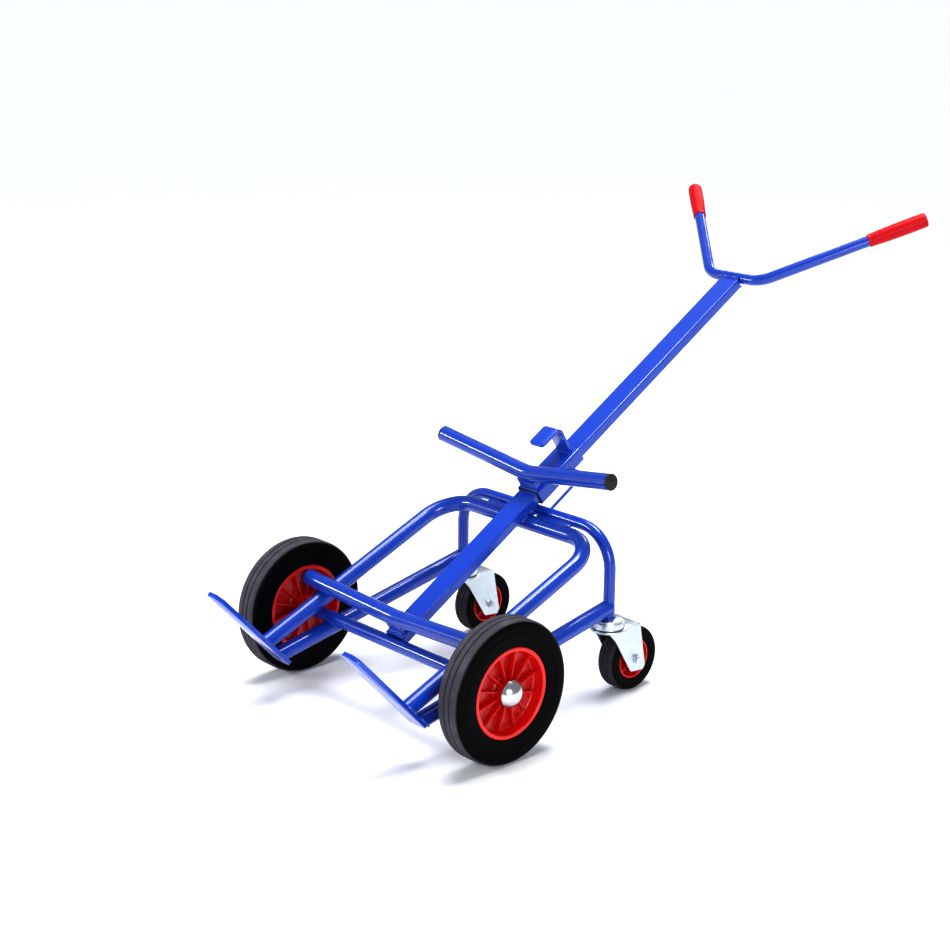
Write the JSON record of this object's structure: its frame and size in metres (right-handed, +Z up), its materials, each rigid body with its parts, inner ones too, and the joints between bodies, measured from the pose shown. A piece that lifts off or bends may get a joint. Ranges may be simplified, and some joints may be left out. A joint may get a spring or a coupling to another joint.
{
  "type": "drum dolly",
  "caption": "Four-wheel drum truck: blue tube frame with toe plates and cradles, sliding rim hook on a box mast, two large wheels and two swivel castors.",
  "frame": {"origin": "on the floor, below the middle of the whole truck", "axes": "+Z up, +Y towards the castors and the handle, +X towards the right-hand large wheel"},
  "size_m": [0.649, 1.4068, 0.8461],
  "materials": {
    "frame_paint": "gloss powder coat",
    "rim_plastic": "moulded",
    "grip_plastic": "soft moulded",
    "tyre_rubber": "moulded solid rubber",
    "castor_rubber": "moulded solid rubber",
    "zinc_plate": "bright zinc plated",
    "axle_steel": "drawn bar",
    "hub_chrome": "polished",
    "cap_plastic": "grained",
    "bush_nylon": "natural nylon",
    "ball_steel": "bearing steel"
  },
  "bodies": {
    "frame": {"bed_tube": "frame_paint", "rear_arch": "frame_paint", "lower_tube_left": "frame_paint", "lower_tube_right": "frame_paint", "toe_plate_left": "frame_paint", "toe_plate_right": "frame_paint", "axle_tube": "frame_paint", "lower_cradle_tube": "frame_paint", "cradle_foot_pad": "frame_paint", "mast": "frame_paint", "mast_spacer_block": "frame_paint", "crossbar_webs": "frame_paint", "handlebar": "frame_paint", "grip_left": "grip_plastic", "grip_right": "grip_plastic", "axle": "axle_steel", "axle_washers": "zinc_plate", "hub_cap_left": "hub_chrome", "hub_cap_right": "hub_chrome", "castor_head_left": "zinc_plate", "castor_head_right": "zinc_plate"},
    "carriage": {"carriage_sleeve": "frame_paint", "sleeve_liners": "cap_plastic", "cradle_saddle": "frame_paint", "upper_cradle_tube": "frame_paint", "cradle_end_caps": "cap_plastic", "drum_hook": "frame_paint", "stop_rod": "frame_paint", "stop_rod_lug": "frame_paint"},
    "wheel_left": {"wheel_rim_left": "rim_plastic", "wheel_tyre_left": "tyre_rubber", "wheel_bush_left": "bush_nylon"},
    "castor_swivel_left": {"castor_fork_left": "zinc_plate", "castor_balls_left": "ball_steel", "castor_bolt_left": "zinc_plate", "castor_nut_left": "zinc_plate"},
    "castor_wheel_left": {"castor_rim_left": "rim_plastic", "castor_tyre_left": "castor_rubber", "castor_bush_left": "bush_nylon"},
    "wheel_right": {"wheel_rim_right": "rim_plastic", "wheel_tyre_right": "tyre_rubber", "wheel_bush_right": "bush_nylon"},
    "castor_swivel_right": {"castor_fork_right": "zinc_plate", "castor_balls_right": "ball_steel", "castor_bolt_right": "zinc_plate", "castor_nut_right": "zinc_plate"},
    "castor_wheel_right": {"castor_rim_right": "rim_plastic", "castor_tyre_right": "castor_rubber", "castor_bush_right": "bush_nylon"}
  },
  "joints": [
    {"name": "carriage_slide", "type": "slide", "parent": "frame", "child": "carriage", "axis": [0, 0.8526, 0.5225], "range_m": [0, 0.52]},
    {"name": "wheel_spin_left", "type": "hinge", "parent": "frame", "child": "wheel_left", "pos_m": [-0.286, -0.43724, 0.13], "axis": [1, 0, 0], "continuous": true},
    {"name": "castor_swivel_left", "type": "hinge", "parent": "frame", "child": "castor_swivel_left", "pos_m": [-0.202, -0.08824, 0.14], "axis": [0, 0, 1], "continuous": true},
    {"name": "castor_spin_left", "type": "hinge", "parent": "castor_swivel_left", "child": "castor_wheel_left", "pos_m": [-0.202, -0.03424, 0.0625], "axis": [1, 0, 0], "continuous": true},
    {"name": "wheel_spin_right", "type": "hinge", "parent": "frame", "child": "wheel_right", "pos_m": [0.286, -0.43724, 0.13], "axis": [1, 0, 0], "continuous": true},
    {"name": "castor_swivel_right", "type": "hinge", "parent": "frame", "child": "castor_swivel_right", "pos_m": [0.202, -0.08824, 0.14], "axis": [0, 0, 1], "continuous": true},
    {"name": "castor_spin_right", "type": "hinge", "parent": "castor_swivel_right", "child": "castor_wheel_right", "pos_m": [0.202, -0.03424, 0.0625], "axis": [1, 0, 0], "continuous": true}
  ]
}
